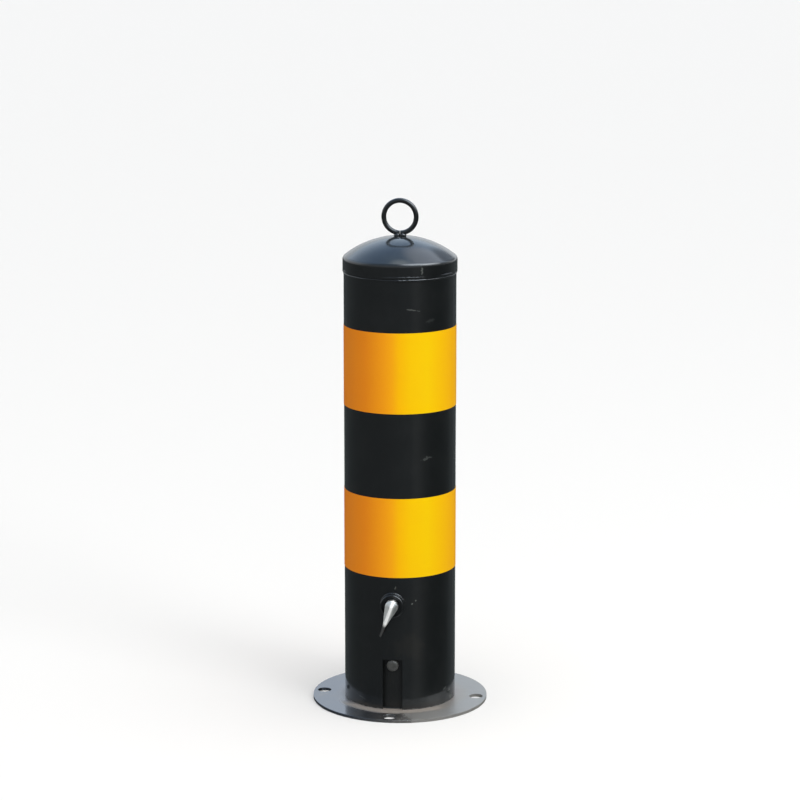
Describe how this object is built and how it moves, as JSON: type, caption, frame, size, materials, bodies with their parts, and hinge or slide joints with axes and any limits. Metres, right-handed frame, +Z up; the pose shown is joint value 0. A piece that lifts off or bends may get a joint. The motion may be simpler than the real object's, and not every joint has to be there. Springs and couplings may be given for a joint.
{
  "type": "removable bollard",
  "caption": "Round black steel post with reflective yellow bands, a domed cap and a lifting ring; it drops over a bolted socket and a turning hook locks it to a cross bar.",
  "frame": {"origin": "centre of the base flange's underside, on the ground", "axes": "+Z up along the post, the socket's cross bar along Y, the lock's lever on the -Y side"},
  "size_m": [0.18, 0.18, 0.5213],
  "materials": {
    "post_paint": "gloss black paint, lightly scratched",
    "base_paint": "satin black paint, worn to bare metal on the upper rim",
    "reflective_film": "smooth yellow retroreflective film",
    "flange_steel": "bare polished steel plate",
    "bar_steel": "bare steel bar, part sprayed with paint",
    "lock_steel": "zinc plated steel",
    "lever_bright": "bright plated casting"
  },
  "bodies": {
    "base": {"base_flange": "flange_steel", "base_socket": "base_paint", "foot_weld": "base_paint", "cross_bar": "bar_steel", "bar_welds": "bar_steel"},
    "post": {"post_tube": "post_paint", "cap": "post_paint", "cap_weld": "post_paint", "lifting_ring": "post_paint", "ring_weld": "post_paint", "upper_band": "reflective_film", "lower_band": "reflective_film", "lock_collar": "post_paint", "collar_weld": "post_paint"},
    "lock": {"lock_spindle": "lock_steel", "lock_lever": "lever_bright", "lever_pin": "lock_steel", "thrust_washer": "lock_steel", "lock_hook": "lock_steel", "hook_washer": "lock_steel", "hook_nut": "lock_steel"}
  },
  "joints": [
    {"name": "post_lift", "type": "slide", "parent": "base", "child": "post", "axis": [0, 0, 1], "range_m": [0, 0.137]},
    {"name": "lock_turn", "type": "hinge", "parent": "post", "child": "lock", "pos_m": [0, -0.05, 0.114], "axis": [0, -1, 0], "range_deg": [0, 20]}
  ]
}
